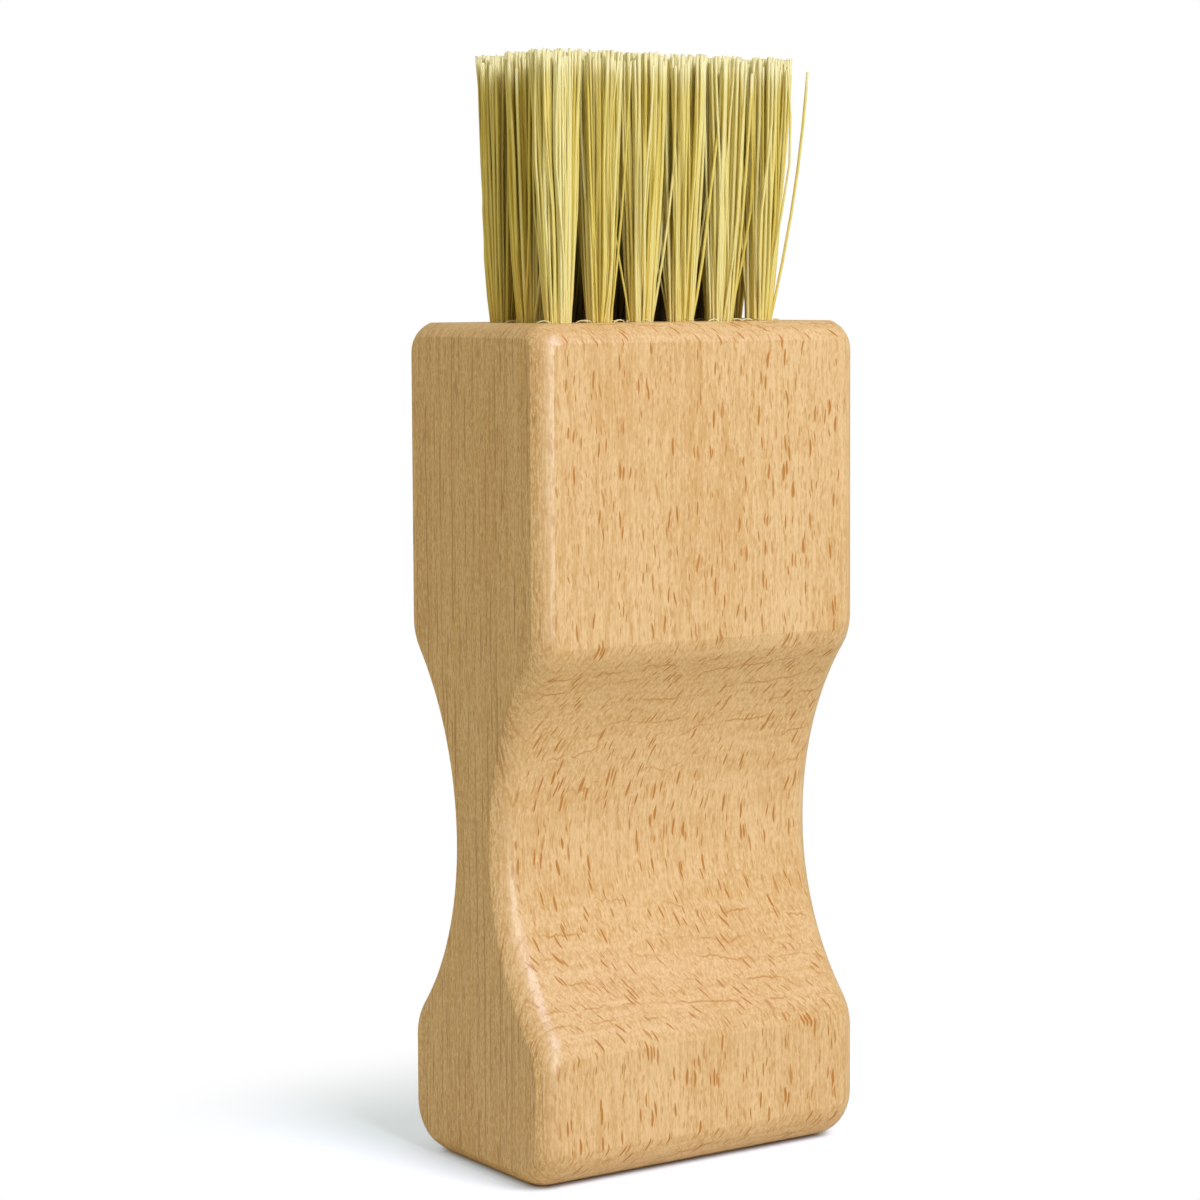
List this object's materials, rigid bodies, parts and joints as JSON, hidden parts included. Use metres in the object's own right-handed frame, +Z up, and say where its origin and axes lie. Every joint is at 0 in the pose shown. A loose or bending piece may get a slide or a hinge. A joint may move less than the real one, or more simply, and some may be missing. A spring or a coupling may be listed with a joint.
{
  "type": "wooden block brush",
  "caption": "Standing hand brush: a scooped hardwood grip block with separate tufts of trimmed plant fibre drawn into rows of holes in its end.",
  "frame": {"origin": "middle of the flat foot that the brush stands on", "axes": "+Z up along the grain, from the foot to the bristle tips; X across the wide, scooped faces; Y through the thickness of the block"},
  "size_m": [0.046, 0.0296, 0.131],
  "materials": {
    "beech": "satin oiled",
    "plant_fibre": "natural satin",
    "anchor_wire": "tinned"
  },
  "bodies": {
    "root": {"handle_block": "beech", "tuft_anchors": "anchor_wire", "tuft_front_1": "plant_fibre", "tuft_front_2": "plant_fibre", "tuft_front_3": "plant_fibre", "tuft_front_4": "plant_fibre", "tuft_front_5": "plant_fibre", "tuft_front_6": "plant_fibre", "tuft_middle_1": "plant_fibre", "tuft_middle_2": "plant_fibre", "tuft_middle_3": "plant_fibre", "tuft_middle_4": "plant_fibre", "tuft_middle_5": "plant_fibre", "tuft_middle_6": "plant_fibre", "tuft_back_1": "plant_fibre", "tuft_back_2": "plant_fibre", "tuft_back_3": "plant_fibre", "tuft_back_4": "plant_fibre", "tuft_back_5": "plant_fibre", "tuft_back_6": "plant_fibre"}
  },
  "joints": []
}
